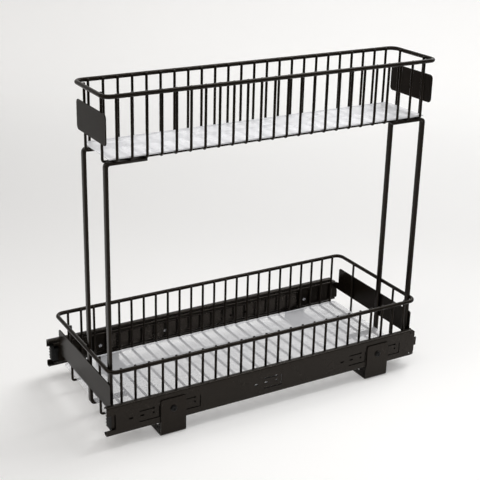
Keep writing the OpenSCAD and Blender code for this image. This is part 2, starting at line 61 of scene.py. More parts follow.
# ---------------------------------------------------------------------------------------------
# Camera: where it stands (m), which way it looks (degrees), and its lens for a square frame
# ---------------------------------------------------------------------------------------------
EYE = Vector((-0.75725, -1.2906, 0.8193))
TURN = 29.17            # from +Y towards +X
DIP = 20.51             # below the horizon
ROLL = 0.95
FRAME_PX = 480
FOCAL_PX = 1056.94
CENTRE_PX = (217.35, 218.1)
SENSOR = 36.0           # mm
SEES_FROM, SEES_TO = 0.05, 30     # m


def place_camera():
    """The axes are the line of sight, turned and dipped, and its right and up, rolled about it."""
    turn, dip, roll = math.radians(TURN), math.radians(DIP), math.radians(ROLL)
    sight = Vector((math.sin(turn) * math.cos(dip), math.cos(turn) * math.cos(dip),
                    -math.sin(dip)))
    level = Vector((math.cos(turn), -math.sin(turn), 0))
    upright = level.cross(sight)
    right = level * math.cos(roll) + upright * math.sin(roll)
    up = upright * math.cos(roll) - level * math.sin(roll)
    data = bpy.data.cameras.new("camera")
    data.sensor_width = SENSOR
    data.lens = FOCAL_PX / FRAME_PX * SENSOR
    data.shift_x = (FRAME_PX / 2 - CENTRE_PX[0]) / FRAME_PX
    data.shift_y = (CENTRE_PX[1] - FRAME_PX / 2) / FRAME_PX
    data.clip_start, data.clip_end = SEES_FROM, SEES_TO
    camera = in_scene("camera", data)
    axes = Matrix((right, up, -sight)).transposed().to_4x4()
    camera.matrix_world = Matrix.Translation(EYE) @ axes
    bpy.context.scene.camera = camera


place_camera()


# ---------------------------------------------------------------------------------------------
# Shader groups: effects that more than one finish uses
# ---------------------------------------------------------------------------------------------
class Nodes:
    """A thin hand on a node tree: add() makes a node and fills its inputs, link() joins sockets."""

    def __init__(self, tree):
        self.tree = tree

    def link(self, out, into):
        self.tree.links.new(out, into)

    def fill(self, socket, value):
        """Gives an input a value, or joins it to the other node's output that stands for one."""
        if isinstance(value, bpy.types.NodeSocket):
            self.link(value, socket)
        else:
            socket.default_value = value

    def add(self, kind, settings=None, **inputs):
        node = self.tree.nodes.new(kind)
        for name, value in (settings or {}).items():
            setattr(node, name, value)
        for name, value in inputs.items():
            self.fill(node.inputs[name.replace("_", " ")], value)
        return node

    def math(self, operation, a, b=0.0):
        """One sum of two values."""
        node = self.add("ShaderNodeMath", {"operation": operation})
        for socket, value in zip(node.inputs, (a, b)):
            self.fill(socket, value)
        return node.outputs[0]

    def blend(self, a, share_of_a, b, share_of_b):
        """The weighted sum of two values."""
        return self.math("ADD", self.math("MULTIPLY", a, share_of_a),
                         self.math("MULTIPLY", b, share_of_b))

    def place(self):
        """Object coordinates."""
        return self.add("ShaderNodeTexCoord").outputs["Object"]

    def drawn(self, vector, scale):
        """Coordinates scaled by axis, which draws a pattern out along the axes of small scale."""
        return self.add("ShaderNodeMapping", Vector=vector, Scale=scale).outputs[0]

    def noise(self, vector, scale, detail=2.0, roughness=0.5):
        """Cloudy noise of 0..1."""
        return self.add("ShaderNodeTexNoise", Vector=vector, Scale=scale, Detail=detail,
                        Roughness=roughness).outputs["Fac"]

    def ramp(self, value, start, end, low, high, curve="SMOOTHSTEP"):
        """Maps a value of start..end to low..high, and holds it there past both ends."""
        return self.add("ShaderNodeMapRange", {"interpolation_type": curve}, Value=value,
                        From_Min=start, From_Max=end, To_Min=low, To_Max=high).outputs[0]

    def spread(self, value, low, high):
        """Maps a value of 0..1 to low..high in a straight line."""
        return self.ramp(value, 0.0, 1.0, low, high, "LINEAR")


def group_of(name, inputs, outputs):
    """A new shader group with float inputs (name: default) and outputs (name: socket type)."""
    tree = bpy.data.node_groups.new(name, "ShaderNodeTree")
    for label, default in inputs.items():
        socket = tree.interface.new_socket(label, in_out="INPUT", socket_type="NodeSocketFloat")
        socket.default_value = default
    for label, kind in outputs.items():
        tree.interface.new_socket(label, in_out="OUTPUT", socket_type=kind)
    nodes = Nodes(tree)
    given, out = nodes.add("NodeGroupInput").outputs, nodes.add("NodeGroupOutput").inputs
    return tree, nodes, given, out


def orange_peel_group():
    """Baked powder: low rounded bumps about a millimetre apart, a finer grain, and slow patches
    of gloss."""
    tree, n, given, out = group_of("orange_peel",
                                   {"Bumps": 900.0, "Grain": 3200.0, "Patches": 14.0},
                                   {"Height": "NodeSocketFloat", "Gloss": "NodeSocketFloat",
                                    "Patch": "NodeSocketFloat"})
    place = n.place()
    bumps = n.noise(place, given["Bumps"], detail=1.0)
    grain = n.noise(place, given["Grain"], detail=2.0, roughness=0.6)
    patch = n.noise(place, given["Patches"], detail=3.0, roughness=0.55)
    n.link(n.blend(bumps, 0.7, grain, 0.3), out["Height"])
    n.link(n.blend(grain, 0.35, patch, 0.65), out["Gloss"])
    n.link(patch, out["Patch"])
    return tree


def rolled_sheet_group():
    """Rolled strip: fine lines drawn out along X, as the rollers leave them, and slow patches."""
    tree, n, given, out = group_of("rolled_sheet", {"Lines": 1400.0, "Patches": 22.0},
                                   {"Height": "NodeSocketFloat", "Patch": "NodeSocketFloat"})
    place = n.place()
    lines = n.drawn(place, (0.02, 1.0, 1.0))
    n.link(n.noise(lines, given["Lines"], detail=3.0, roughness=0.65), out["Height"])
    n.link(n.noise(place, given["Patches"], detail=4.0, roughness=0.6), out["Patch"])
    return tree


def handling_group():
    """Faint smears and dust: cloudy, warped noise, cut to its brighter parts."""
    tree, n, given, out = group_of("handling", {"Scale": 38.0, "Cover": 0.55},
                                   {"Smear": "NodeSocketFloat"})
    cloudy = n.add("ShaderNodeTexNoise", Vector=n.place(), Scale=given["Scale"], Detail=6.0,
                   Roughness=0.62, Distortion=0.6).outputs["Fac"]
    above = n.math("MULTIPLY", n.math("SUBTRACT", cloudy, given["Cover"]), 5.0)
    n.link(n.math("MINIMUM", n.math("MAXIMUM", above, 0.0), 1.0), out["Smear"])
    return tree


GROUPS = {
    "orange_peel": orange_peel_group(),
    "rolled_sheet": rolled_sheet_group(),
    "handling": handling_group(),
}


# ---------------------------------------------------------------------------------------------
# Finishes
# ---------------------------------------------------------------------------------------------
def finish_of(name):
    """A material with one Principled shader, and the hand that fills it in."""
    made = bpy.data.materials.new(name)
    made.use_nodes = True
    return made, Nodes(made.node_tree), made.node_tree.nodes["Principled BSDF"]


def effect(n, name, **inputs):
    """The outputs of a shader group, with the given inputs in place of its defaults."""
    return n.add("ShaderNodeGroup", {"node_tree": GROUPS[name]}, **inputs).outputs


def two_tones(n, mask, dark, light):
    """A colour between dark and light, where the mask runs from 0 to 1."""
    mix = n.add("ShaderNodeMix", {"data_type": "RGBA"})
    factor, first, second = mix.inputs[0], mix.inputs[6], mix.inputs[7]
    n.link(mask, factor)
    first.default_value = (*dark, 1)
    second.default_value = (*light, 1)
    return mix.outputs[2]


def fill_in(n, shader, colour, roughness, relief, **fixed):
    """Fills in a shader: colour is (mask, dark, light), roughness (mask, low, high) and relief
    (height, strength, depth). The other inputs get fixed values by their names."""
    height, strength, depth = relief
    bumps = n.add("ShaderNodeBump", Height=height, Strength=strength, Distance=depth).outputs[0]
    n.link(two_tones(n, *colour), shader.inputs["Base Color"])
    n.link(n.spread(*roughness), shader.inputs["Roughness"])
    n.link(bumps, shader.inputs["Normal"])
    for name, value in fixed.items():
        shader.inputs[name.replace("_", " ")].default_value = value


WARM_GLOSS = (1.0, 0.86, 0.74, 1)     # the black coats' gloss is faintly brown


def powder_coat(name="satin_powder_coat", gloss=0.15):
    """Satin black powder coat with a warm cast: orange-peel bumps and slow patches of gloss."""
    made, n, shader = finish_of(name)
    peel = effect(n, "orange_peel")
    tone = n.blend(peel["Patch"], 0.75, effect(n, "handling")["Smear"], 0.25)
    fill_in(n, shader,
            colour=(tone, (0.0070, 0.0053, 0.0038), (0.0130, 0.0101, 0.0076)),
            roughness=(peel["Gloss"], 0.15, 0.29),
            relief=(peel["Height"], 0.35, 0.06 * MM),
            Specular_IOR_Level=gloss, Specular_Tint=WARM_GLOSS)
    return made


def rail_coat(name="black_rail_coat", gloss=0.21):
    """Thin black coat on rolled strip: faint roller lines, a little rougher than the powder."""
    made, n, shader = finish_of(name)
    sheet = effect(n, "rolled_sheet")
    tone = n.blend(sheet["Patch"], 0.7, effect(n, "handling", Scale=55.0)["Smear"], 0.3)
    fill_in(n, shader,
            colour=(tone, (0.0080, 0.0067, 0.0055), (0.0160, 0.0136, 0.0114)),
            roughness=(sheet["Patch"], 0.19, 0.34),
            relief=(sheet["Height"], 0.25, 0.03 * MM),
            Specular_IOR_Level=gloss, Specular_Tint=WARM_GLOSS)
    return made


def black_oxide():
    """Oxide-blacked screws: dark, with a fine grain."""
    made, n, shader = finish_of("black_oxide")
    peel = effect(n, "orange_peel", Bumps=2500.0, Grain=7000.0, Patches=160.0)
    fill_in(n, shader,
            colour=(peel["Patch"], (0.0040, 0.0037, 0.0035), (0.0090, 0.0085, 0.0080)),
            roughness=(peel["Gloss"], 0.26, 0.40),
            relief=(peel["Height"], 0.3, 0.03 * MM),
            Specular_IOR_Level=0.2)
    return made


def bright_steel():
    """Polished steel of the bearing balls and small screws, with faint scuffs."""
    made, n, shader = finish_of("polished_steel")
    peel = effect(n, "orange_peel", Bumps=1800.0, Grain=6000.0, Patches=240.0)
    fill_in(n, shader,
            colour=(peel["Patch"], (0.34, 0.34, 0.36), (0.52, 0.52, 0.54)),
            roughness=(peel["Gloss"], 0.10, 0.26),
            relief=(peel["Height"], 0.15, 0.02 * MM),
            Metallic=1.0)
    return made


def zinc_strip():
    """Zinc-plated strip of the ball cages: pale grey with roller lines."""
    made, n, shader = finish_of("zinc_strip")
    sheet = effect(n, "rolled_sheet", Lines=2200.0, Patches=90.0)
    fill_in(n, shader,
            colour=(sheet["Patch"], (0.66, 0.67, 0.69), (0.84, 0.85, 0.87)),
            roughness=(sheet["Height"], 0.28, 0.44),
            relief=(sheet["Height"], 0.3, 0.02 * MM),
            Metallic=0.9)
    return made


MILK_FROM, MILK_TO = 0.5, 0.72        # between which glancing looks the milk grows
CLEAREST, MILKIEST = 0.26, 0.63       # how milky one face of the liner is before and after
EDGE_MILK = 0.5                       # how much milkier it is at its bent-up edges
CLOUD_MILK = 0.02                     # how much its clouds add or take


def milky_sheet():
    """Milky plastic liner: partly clear from above, milkier at a glancing look and at its bent-up
    edges, and glossy."""
    made, n, shader = finish_of("milky_sheet")
    place = n.place()
    cloud = n.noise(place, 26.0, detail=3.0)
    wave = n.noise(n.drawn(place, (1.0, 0.45, 1.0)), 16.0, detail=1.0)
    fill_in(n, shader,
            colour=(cloud, (0.905, 0.91, 0.94), (0.955, 0.96, 0.985)),
            roughness=(effect(n, "handling", Scale=30.0)["Smear"], 0.26, 0.40),
            relief=(wave, 0.03, 1.0 * MM),
            Specular_IOR_Level=0.4)
    grazing = n.add("ShaderNodeLayerWeight", Blend=0.5).outputs["Facing"]
    milk = n.ramp(grazing, MILK_FROM, MILK_TO, CLEAREST, MILKIEST, "LINEAR")
    bent_up = n.add("ShaderNodeAttribute", {"attribute_name": "bent_up"}).outputs["Fac"]
    milk = n.math("ADD", milk, n.math("MULTIPLY", bent_up, EDGE_MILK))
    milk = n.math("ADD", milk, n.spread(cloud, -CLOUD_MILK, CLOUD_MILK))
    n.link(milk, shader.inputs["Alpha"])
    return made


def moulded_plastic():
    """Moulded black plastic with a fine spark grain."""
    made, n, shader = finish_of("moulded_plastic")
    peel = effect(n, "orange_peel", Bumps=2600.0, Grain=8000.0, Patches=60.0)
    fill_in(n, shader,
            colour=(peel["Patch"], (0.0030, 0.0030, 0.0030), (0.0070, 0.0070, 0.0070)),
            roughness=(peel["Gloss"], 0.45, 0.62),
            relief=(peel["Height"], 0.4, 0.04 * MM),
            Specular_IOR_Level=0.3)
    return made


FINISHES = {
    "black_coat": powder_coat(),
    "black_rail": rail_coat(),
    "black_screw": black_oxide(),
    "bright_steel": bright_steel(),
    "cage_steel": zinc_strip(),
    "milky_liner": milky_sheet(),
    "black_plastic": moulded_plastic(),
}
SLIDING_COAT = rail_coat("black_sliding_coat", 0.42)     # the inner rails, with more gloss
PLATE_COAT = powder_coat("satin_plate_coat", 0.08)       # the end plates, a duller batch
FOOT_COAT = powder_coat("satin_foot_coat", 0.2)          # the brackets, a glossier one
SLOT_OF = {row["node"]: row["material_slot"] for row in frame["record"]["subparts"]}
BODY_OF = {node: body for body, nodes in frame["record"]["behaviour"]["bodies"].items()
           for node in nodes}


# ---------------------------------------------------------------------------------------------
# Making pieces
# ---------------------------------------------------------------------------------------------
def surface_piece(name, points, faces, crease=None):
    """A smooth mesh object from an array of points and a list of faces. Edges that turn by more
    than the crease, in degrees, stay sharp."""
    mesh = bpy.data.meshes.new(name)
    mesh.from_pydata(points.tolist(), [], faces)
    mesh.update()
    mesh.polygons.foreach_set("use_smooth", np.ones(len(mesh.polygons), bool))
    if crease:
        mesh.set_sharp_from_angle(angle=math.radians(crease))
    return in_scene(name, mesh)


def dress(piece, node, coat=None):
    """The piece stands for a CAD node: it rides with it and takes its finish, or a given coat."""
    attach(piece, BODY_OF[node])
    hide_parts(node)
    piece.data.materials.clear()
    piece.data.materials.append(coat or FINISHES[SLOT_OF[node]])
    return piece


def add_on(piece, node):
    """A small piece that sits on a CAD node: it rides with it and takes its finish."""
    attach(piece, BODY_OF[node])
    piece.data.materials.append(FINISHES[SLOT_OF[node]])
    return piece


def rounded_path(corners, radius, steps, closed):
    """Corner points joined by straight runs, each corner replaced by an arc of the given radius.
    On a corner with unit ways a (back) and b (on), the arc's centre lies on their bisector, at
    radius / sin(half the corner's angle), and its points turn evenly from one tangent point to
    the other."""
    corners = [np.asarray(c, float) for c in corners]
    count = len(corners)
    path = []
    for i, corner in enumerate(corners):
        if not closed and i in (0, count - 1):
            path.append(corner)
            continue
        back = corners[i - 1] - corner
        on = corners[(i + 1) % count] - corner
        back, on = back / np.linalg.norm(back), on / np.linalg.norm(on)
        half = math.acos(np.clip(back @ on, -1, 1)) / 2
        middle = (back + on) / np.linalg.norm(back + on)
        centre = corner + middle * radius / math.sin(half)
        out = -middle
        side = on - (on @ out) * out
        side /= np.linalg.norm(side)
        sweep = math.pi / 2 - half
        turn = np.linspace(-sweep, sweep, steps + 1)[:, None]
        path.extend(centre + radius * (np.cos(turn) * out + np.sin(turn) * side))
    return np.array(path)


def carried_section(path, section, normal, closed):
    """Grid of points: the section's (a, b) at each path point p is p + a * side + b * normal,
    where normal is square to the plane of the path and side is normal x tangent."""
    normal = np.asarray(normal, float)
    ahead = np.roll(path, -1, axis=0) - path
    behind = path - np.roll(path, 1, axis=0)
    if not closed:
        ahead[-1], behind[0] = behind[-1], ahead[0]
    ahead /= np.linalg.norm(ahead, axis=1, keepdims=True)
    behind /= np.linalg.norm(behind, axis=1, keepdims=True)
    tangent = ahead + behind
    tangent /= np.linalg.norm(tangent, axis=1, keepdims=True)
    side = np.cross(normal, tangent)
    return path[:, None] + section[None, :, :1] * side[:, None] + section[None, :, 1:] * normal


def tube_faces(rings, sides, closed, first=0):
    """Quads between neighbouring rings, and a flat cap at each end of an open tube."""
    ring = np.arange(rings if closed else rings - 1)[:, None]
    side = np.arange(sides)[None, :]
    a = ring * sides + side
    b = ring * sides + (side + 1) % sides
    total = rings * sides
    quads = np.stack([a, (a + sides) % total, (b + sides) % total, b], axis=-1)
    faces = (quads.reshape(-1, 4) + first).tolist()
    if not closed:
        faces.append((first + np.arange(sides)).tolist())
        faces.append((first + total - 1 - np.arange(sides)).tolist())
    return faces


def disc(radius, sides):
    """Points of a circle."""
    turn = np.arange(sides) * 2 * math.pi / sides
    return radius * np.stack([np.cos(turn), np.sin(turn)], axis=1)


def rounded_bar(width, thick, radius, steps):
    """Points of a rectangle with round corners, anticlockwise from the upper right one."""
    turn = np.linspace(0, math.pi / 2, steps + 1)
    quarter = radius * np.stack([np.cos(turn), np.sin(turn)], axis=1)
    points = []
    for k, (sx, sy) in enumerate(((1, 1), (-1, 1), (-1, -1), (1, -1))):
        c, s = round(math.cos(k * math.pi / 2)), round(math.sin(k * math.pi / 2))
        turned = quarter @ np.array([[c, s], [-s, c]])
        points.append(turned + [sx * (width / 2 - radius), sy * (thick / 2 - radius)])
    return np.concatenate(points)


CUT_END = np.array([[0.0, 0.55], [0.12, 0.85], [0.5, 1.0]])     # rings: how far in, how wide


def eased_ends(path, radius):
    """An open path with two more rings near each end, and each ring's width, for a rod whose cut
    ends are rounded over. The rings' places and widths are shares of the radius."""
    start = path[1] - path[0]
    end = path[-2] - path[-1]
    start, end = start / np.linalg.norm(start), end / np.linalg.norm(end)
    far_in, wide = CUT_END[:, :1], CUT_END[:, 1]
    near = path[0] + start * radius * far_in
    far = path[-1] + end * radius * far_in[::-1]
    scale = np.concatenate([wide, np.ones(len(path) - 2), wide[::-1]])
    return np.concatenate([near, path[1:-1], far]), scale


def rods(name, paths, normal, radius, sides):
    """One piece made of several rods: a circle carried along each open path, with rounded cut
    ends."""
    points, faces, first = [], [], 0
    for path in paths:
        eased, scale = eased_ends(path, radius)
        grid = carried_section(eased, disc(radius, sides), normal, closed=False)
        grid = eased[:, None] + (grid - eased[:, None]) * scale[:, None, None]
        points.append(grid.reshape(-1, 3))
        faces += tube_faces(len(eased), sides, False, first)
        first += grid.shape[0] * sides
    return surface_piece(name, np.concatenate(points), faces)


def blobs(name, centres, radii, around=10, rings=6):
    """One piece made of many small ellipsoids: (rx sin v cos u, ry sin v sin u, rz cos v) about
    each centre."""
    centres, radii = np.asarray(centres, float), np.asarray(radii, float)
    v = np.linspace(0, math.pi, rings + 1)[1:-1, None]
    u = np.arange(around)[None, :] * 2 * math.pi / around
    ball = np.stack([np.sin(v) * np.cos(u), np.sin(v) * np.sin(u), np.cos(v) + 0 * u], axis=-1)
    ball = np.concatenate([[[0, 0, 1]], ball.reshape(-1, 3), [[0, 0, -1]]])
    s = np.arange(around)
    on = (s + 1) % around
    row = 1 + np.arange(rings - 2)[:, None] * around
    last = 1 + (rings - 2) * around
    belt = np.stack([row + s, row + s + around, row + on + around, row + on], axis=-1)
    top = np.stack([0 * s, 1 + s, 1 + on], axis=1)
    foot = np.stack([0 * s + len(ball) - 1, last + on, last + s], axis=1)
    points = centres[:, None] + ball[None] * np.broadcast_to(radii, centres.shape)[:, None]
    faces = []
    for first in range(0, len(centres) * len(ball), len(ball)):
        faces += (belt.reshape(-1, 4) + first).tolist()
        faces += (top + first).tolist() + (foot + first).tolist()
    return surface_piece(name, points.reshape(-1, 3), faces)


WELD_WITHIN = 1e-6           # m, points closer than this are one
FLAT_WITHIN = 0.5            # degrees, triangles that turn less are one face
EDGE_STEPS = 2               # parts of a rounded edge


def softened(node, name, edge, angle=35, coat=None):
    """A copy of a CAD node's mesh that stands for it, its triangles merged into whole faces, with
    the edges that turn by more than the angle rounded over."""
    mesh = frame["nodes"][node].data.copy()
    mesh.name = name
    work = bmesh.new()
    work.from_mesh(mesh)
    bmesh.ops.remove_doubles(work, verts=work.verts, dist=WELD_WITHIN)
    bmesh.ops.dissolve_limit(work, angle_limit=math.radians(FLAT_WITHIN), verts=work.verts,
                             edges=work.edges)
    work.to_mesh(mesh)
    work.free()
    if "custom_normal" in mesh.attributes:
        mesh.attributes.remove(mesh.attributes["custom_normal"])
    mesh.polygons.foreach_set("use_smooth", np.ones(len(mesh.polygons), bool))
    mesh.set_sharp_from_angle(angle=math.radians(angle))
    made = in_scene(name, mesh)
    if edge:
        bevel = made.modifiers.new("rounded edges", "BEVEL")
        bevel.width = edge
        bevel.segments = EDGE_STEPS
        bevel.limit_method = "ANGLE"
        bevel.angle_limit = math.radians(angle)
        bevel.harden_normals = True
    return dress(made, node, coat)


# ---------------------------------------------------------------------------------------------
# Baskets
# ---------------------------------------------------------------------------------------------
RIM_CORNER = 12 * MM         # to the middle of the rod
RIM_STEPS, RIM_SIDES = 12, 24          # parts of its corner arcs and of its section
WIRE_BEND = 3.8 * MM         # to the middle of the wire
WIRE_STEPS, WIRE_SIDES = 8, 14
CROSS_WIRES = 24
UP, ALONG, ACROSS = (0, 0, 1), (1, 0, 0), (0, 1, 0)


def rim(tier):
    """Round rod bent into a closed hoop: a circle carried round a rectangle with arc corners."""
    low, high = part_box(f"{tier}_rim")
    rod = (high.z - low.z) / 2
    z = (low.z + high.z) / 2
    x0, x1, y0, y1 = low.x + rod, high.x - rod, low.y + rod, high.y - rod
    corners = [(x0, y0, z), (x1, y0, z), (x1, y1, z), (x0, y1, z)]
    path = rounded_path(corners, RIM_CORNER, RIM_STEPS, closed=True)
    grid = carried_section(path, disc(rod, RIM_SIDES), UP, closed=True)
    faces = tube_faces(len(path), RIM_SIDES, True)
    return dress(surface_piece(f"{tier}_rim_rod", grid.reshape(-1, 3), faces), f"{tier}_rim")


def wire_radius():
    """The liners lie on the cross wires, whose lowest point is one wire diameter lower."""
    return (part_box("lower_liner")[0].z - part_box("lower_cross_wires")[0].z) / 2


def cross_wire_places(tier):
    """Where the cross wires stand along the basket."""
    low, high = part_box(f"{tier}_cross_wires")
    r = wire_radius()
    return np.linspace(low.x + r, high.x - r, CROSS_WIRES)


def bent_wires(piece, node, corner_rows, normal):
    """Open wires bent at their inner corners, all in planes square to normal."""
    paths = [rounded_path(corners, WIRE_BEND, WIRE_STEPS, closed=False) for corners in corner_rows]
    return dress(rods(piece, paths, normal, wire_radius(), WIRE_SIDES), node)


def cross_wires(tier):
    """U-shaped wires across the basket, evenly spaced, each with two legs and a floor."""
    low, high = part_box(f"{tier}_cross_wires")
    r = wire_radius()
    y0, y1, z0, z1 = low.y + r, high.y - r, low.z + r, high.z
    rows = [[(x, y0, z1), (x, y0, z0), (x, y1, z0), (x, y1, z1)] for x in cross_wire_places(tier)]
    return bent_wires(f"{tier}_cross_rods", f"{tier}_cross_wires", rows, ALONG)


def end_wires(tier):
    """Two U-shaped wires along the basket, under the cross wires and up both ends."""
    low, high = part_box(f"{tier}_end_wires")
    r = wire_radius()
    x0, x1, z0, z1 = low.x + r, high.x - r, low.z + r, high.z
    rows = [[(x0, y, z1), (x0, y, z0), (x1, y, z0), (x1, y, z1)] for y in (low.y + r, high.y - r)]
    return bent_wires(f"{tier}_end_rods", f"{tier}_end_wires", rows, ACROSS)


RIM_WELD = np.array([1.5, 1.2, 2.1]) * MM       # half sizes, where a cross wire meets the rim
FLOOR_WELD = np.array([1.3, 1.3, 0.9]) * MM     # and where the wires cross


def rim_welds(tier):
    """A bead where each wire meets the rim, and a flatter one where wires cross at the floor."""
    rim_low, rim_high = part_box(f"{tier}_rim")
    z = (rim_low.z + rim_high.z) / 2
    cross_low, cross_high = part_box(f"{tier}_cross_wires")
    end_low, end_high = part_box(f"{tier}_end_wires")
    r = wire_radius()
    end_rows = (end_low.y + r, end_high.y - r)
    centres, radii = [], []
    for x in cross_wire_places(tier):
        centres += [(x, y, z) for y in (cross_low.y, cross_high.y)]
        centres += [(x, y, cross_low.z) for y in end_rows]
        radii += [RIM_WELD] * 2 + [FLOOR_WELD] * 2
    for y in end_rows:
        centres += [(x, y, z) for x in (end_low.x, end_high.x)]
        radii += [RIM_WELD[[1, 0, 2]]] * 2
    return add_on(blobs(f"{tier}_basket_welds", centres, radii), f"{tier}_rim")


LINER_CORNER = 4 * MM
LINER_REACH = 0.9            # how far its edges run up the wires' bends, as a share of their radius
LINER_MILKY = 0.4            # how far up them it is fully milky, as a share in the same way
CORNER_ROWS, LONG_ROWS = 6, 60         # of its grid, in each round corner and between the corners
BENT_COLUMNS, FLAT_COLUMNS = 9, 24     # and in each bent-up edge and between the edges
SHEET_CREASE = 40            # degrees


def sheet(name, x, y, under, thick):
    """A thin closed slab: a grid of points x, y and under on its underside, and the same ones
    thick higher."""
    rows, columns = x.shape
    count = rows * columns
    foot = np.stack([x, y, under], axis=-1).reshape(-1, 3)
    a = (np.arange(rows - 1)[:, None] * columns + np.arange(columns - 1)[None, :]).reshape(-1)
    cells = np.stack([a, a + columns, a + columns + 1, a + 1], axis=1)
    index = np.arange(count).reshape(rows, columns)
    ring = np.concatenate([index[:-1, 0], index[-1, :-1], index[:0:-1, -1], index[0, :0:-1]])
    on = np.roll(ring, -1)
    sides = np.stack([ring, on, on + count, ring + count], axis=1)
    faces = np.concatenate([cells + count, cells[:, ::-1], sides]).tolist()
    points = np.concatenate([foot, foot + [0, 0, thick]])
    return surface_piece(name, points, faces, SHEET_CREASE)


def liner(tier):
    """Loose milky sheet whose long edges ride up the wires' bends. Past the bends' middle lines,
    at |y| = s, a bend of inner radius r lifts the sheet by r - sqrt(r^2 - (|y| - s)^2). Within c
    of an end, round corners narrow it by c - sqrt(c^2 - (c - d)^2), d being the distance from
    the end."""
    low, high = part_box(f"{tier}_liner")
    wires_low, wires_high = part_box(f"{tier}_cross_wires")
    c = LINER_CORNER
    r = WIRE_BEND - wire_radius()
    s = (wires_high.y - wires_low.y) / 2 - wire_radius() - WIRE_BEND
    half, middle = s + LINER_REACH * r, (low.y + high.y) / 2
    corner = np.linspace(0, 1, CORNER_ROWS + 1)[:-1] ** 2 * c
    x = np.concatenate([low.x + corner, np.linspace(low.x + c, high.x - c, LONG_ROWS),
                        high.x - corner[::-1]])
    d = np.minimum(np.minimum(x - low.x, high.x - x), c)
    width = half - (c - np.sqrt(c ** 2 - (c - d) ** 2))
    edge = np.linspace(s / half, 1, BENT_COLUMNS)
    flat = np.linspace(-s / half, s / half, FLAT_COLUMNS)[1:-1]
    y = width[:, None] * np.concatenate([-edge[::-1], flat, edge])
    past = np.maximum(np.abs(y) - s, 0)
    lift = r - np.sqrt(r ** 2 - past ** 2)
    piece = sheet(f"{tier}_liner_sheet", x[:, None] + 0 * y, middle + y, low.z + lift,
                  high.z - low.z)
    milky = np.minimum(past / (LINER_MILKY * r), 1).reshape(-1)
    bent_up = piece.data.attributes.new("bent_up", "FLOAT", "POINT")
    bent_up.data.foreach_set("value", np.tile(milky, 2))
    return dress(piece, f"{tier}_liner")


for tier in ("lower", "upper"):
    rim(tier)
    cross_wires(tier)
    end_wires(tier)
    rim_welds(tier)
    liner(tier)

# ---------------------------------------------------------------------------------------------
# Flat bars and end plates
# ---------------------------------------------------------------------------------------------
BAR_THICK = 4.5 * MM
BAR_BEND = 5 * MM            # to the middle of the bar
BAR_STEPS = 10
BAR_EDGE = 0.9 * MM          # rounding of the rolled bar's long edges
BAR_EDGE_STEPS = 3
SHEET_EDGE = 0.35 * MM       # rounding of cut sheet


def upright(side, end):
    """Flat bar bent in under both baskets: a rounded rectangle carried along foot, post and top."""
    node = f"{side}_{end}_upright"
    low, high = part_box(node)
    half = BAR_THICK / 2
    y, z0, z1 = (low.y + high.y) / 2, low.z + half, high.z - half
    outer, inner = (high.x - half, low.x) if end == "front" else (low.x + half, high.x)
    corners = [(inner, y, z0), (outer, y, z0), (outer, y, z1), (inner, y, z1)]
    path = rounded_path(corners, BAR_BEND, BAR_STEPS, closed=False)
    section = rounded_bar(BAR_THICK, high.y - low.y, BAR_EDGE, BAR_EDGE_STEPS)
    grid = carried_section(path, section, ACROSS, closed=False)
    faces = tube_faces(len(path), len(section), False)
    return dress(surface_piece(f"{side}_{end}_flat_bar", grid.reshape(-1, 3), faces), node)


for end in ("front", "rear"):
    for side in ("near", "far"):
        upright(side, end)
    for tier in ("lower", "upper"):
        softened(f"{end}_{tier}_plate", f"{end}_{tier}_sheet", SHEET_EDGE, coat=PLATE_COAT)

# ---------------------------------------------------------------------------------------------
# Slides, brackets and screws
# ---------------------------------------------------------------------------------------------
HEAD_OUT = 4.6 * MM          # how far a stop's head stands out behind the rails inside
HEAD_IN = 0.05 * MM          # and how far it reaches into the stop
HEAD_ABOVE = 4.5 * MM        # how far it rises over the rest of the stop
HEAD_CORNER = 5 * MM
HEAD_POINTS = 61             # of its outline
HEAD_CREASE = 40             # degrees
RIDGES, RIDGE = 5, 1.4 * MM
WEB_CLEAR = 1.7 * MM         # from the outside of the rail's web to the head
RAIL_EDGE = 0.2 * MM         # rounding of each kind of piece's edges
STOP_EDGE = 0.3 * MM
CAGE_EDGE = 0.1 * MM
BRACKET_SCREW_EDGE = 0.2 * MM
FLANGE_SCREW_EDGE = 0.15 * MM
BALL_ANGLE = 80              # degrees, so that no edge of a ball's mesh stays sharp


def stop_head(side):
    """Ridged rear head of a stop. At the share t of its height h it stands out by
    out * sqrt(1 - p^2) - ridge * |cos(pi n t)| * (1 - p), p being 1 - h * min(t, 1 - t) / corner,
    but at least 0."""
    low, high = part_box(f"{side}_rear_stop")
    rail_low, rail_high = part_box(f"{side}_outer_rail")
    height = high.z + HEAD_ABOVE - low.z
    t = np.linspace(0, 1, HEAD_POINTS)
    past = np.clip(1 - height * np.minimum(t, 1 - t) / HEAD_CORNER, 0, 1)
    ridges = RIDGE * np.abs(np.cos(math.pi * RIDGES * t)) * (1 - past)
    out = HEAD_OUT * np.sqrt(1 - past ** 2) - ridges
    line = np.stack([low.x - out, low.z + t * height], axis=1)
    line = np.concatenate([line, line[-1:] + [HEAD_IN, 0], line[:1] + [HEAD_IN, 0]])
    if side == "near":
        y0, y1 = rail_low.y + WEB_CLEAR, high.y
    else:
        y0, y1 = low.y, rail_high.y - WEB_CLEAR
    count = len(line)
    points = np.concatenate([np.insert(line, 1, y, axis=1) for y in (y0, y1)])
    k = np.arange(count)
    on = (k + 1) % count
    faces = np.stack([k, on, on + count, k + count], axis=1).tolist()
    faces += [k[::-1].tolist(), (k + count).tolist()]
    return add_on(surface_piece(f"{side}_stop_head", points, faces, HEAD_CREASE),
                  f"{side}_rear_stop")


RIVET = np.array([2.3, 0.9, 2.3]) * MM       # half sizes, the back half inside the web
RIVET_X = -73 * MM


